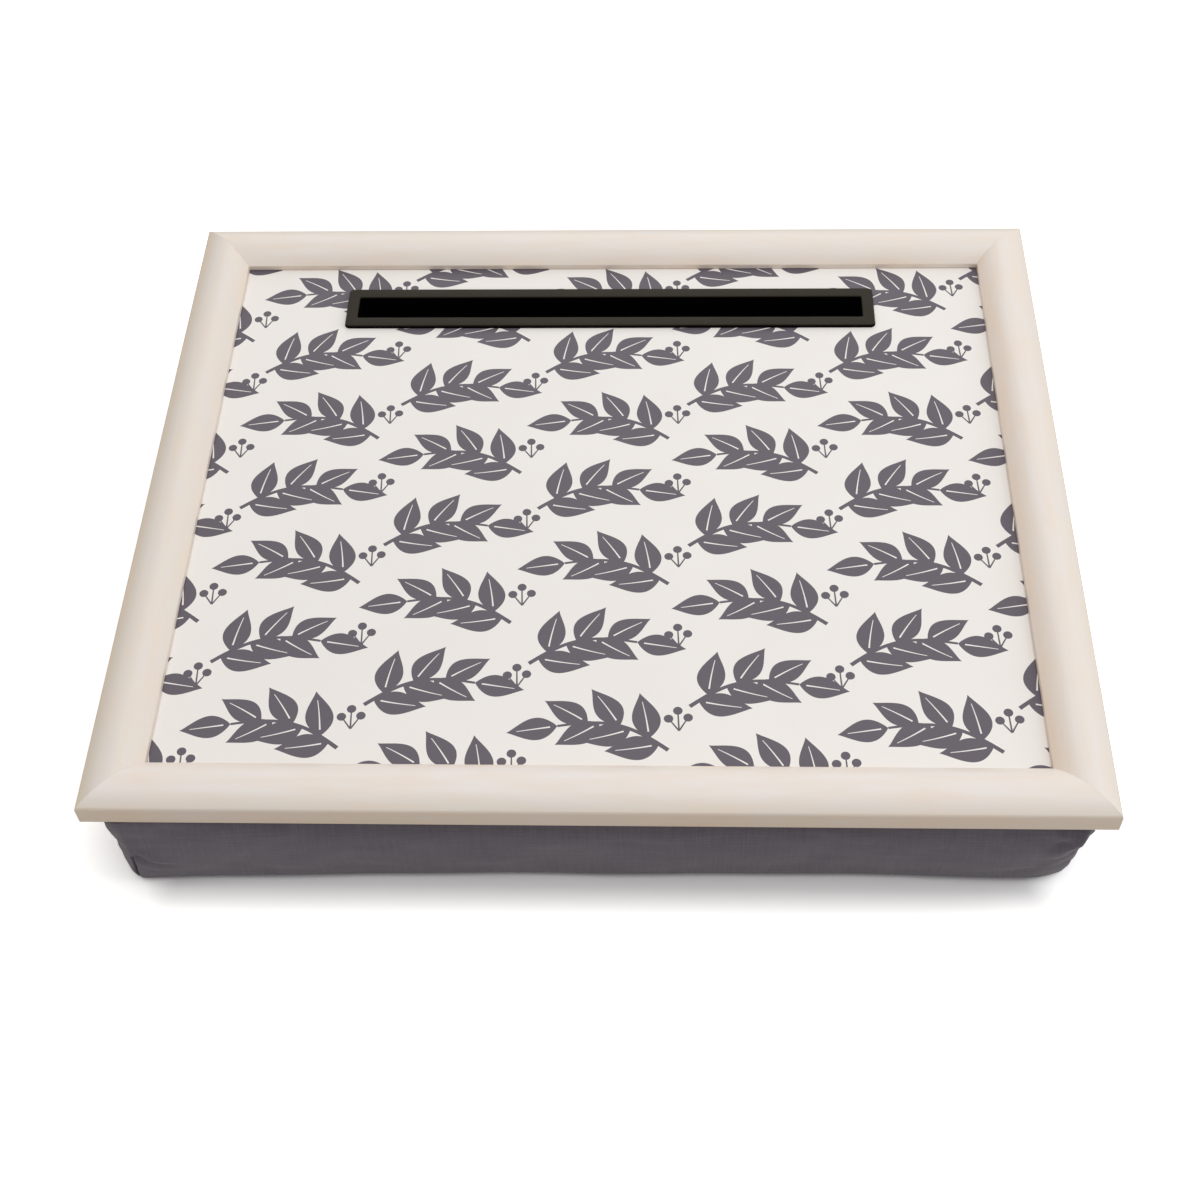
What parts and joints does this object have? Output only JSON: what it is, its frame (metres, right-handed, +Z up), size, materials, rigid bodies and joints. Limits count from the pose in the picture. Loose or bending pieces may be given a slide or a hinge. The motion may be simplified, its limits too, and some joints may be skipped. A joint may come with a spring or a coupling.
{
  "type": "lap tray",
  "caption": "Framed lap tray with a smooth printed top, a slot that holds a tablet upright, and a bead-filled cushion underneath.",
  "frame": {"origin": "middle of the cushion's base, on the surface that the tray lies on", "axes": "+X to the right along the long side, +Y to the back, where the slot is, +Z up"},
  "size_m": [0.44, 0.365, 0.0681],
  "materials": {
    "moulding": "satin",
    "laminate": "satin",
    "board": "matte",
    "insert": "satin",
    "steel": "satin",
    "tape": "matte",
    "cover": "matte",
    "beads": "matte"
  },
  "bodies": {
    "root": {"front_rail": "moulding", "back_rail": "moulding", "left_rail": "moulding", "right_rail": "moulding", "decor_panel": "laminate", "tray_board": "board", "slot_insert": "insert", "corner_nail_front_left_outer": "steel", "corner_nail_front_left_inner": "steel", "corner_nail_front_right_outer": "steel", "corner_nail_front_right_inner": "steel", "corner_nail_back_right_outer": "steel", "corner_nail_back_right_inner": "steel", "corner_nail_back_left_outer": "steel", "corner_nail_back_left_inner": "steel", "board_point_front_1": "steel", "board_point_front_2": "steel", "board_point_front_3": "steel", "board_point_back_1": "steel", "board_point_back_2": "steel", "board_point_back_3": "steel", "board_point_left_1": "steel", "board_point_left_2": "steel", "board_point_right_1": "steel", "board_point_right_2": "steel", "hook_tape_front": "tape", "hook_tape_back": "tape", "hook_tape_left": "tape", "hook_tape_right": "tape", "loop_tape_front": "tape", "loop_tape_back": "tape", "loop_tape_left": "tape", "loop_tape_right": "tape", "cushion_top_cover": "cover", "cushion_base_cover": "cover", "bead_filling": "beads"}
  },
  "joints": []
}
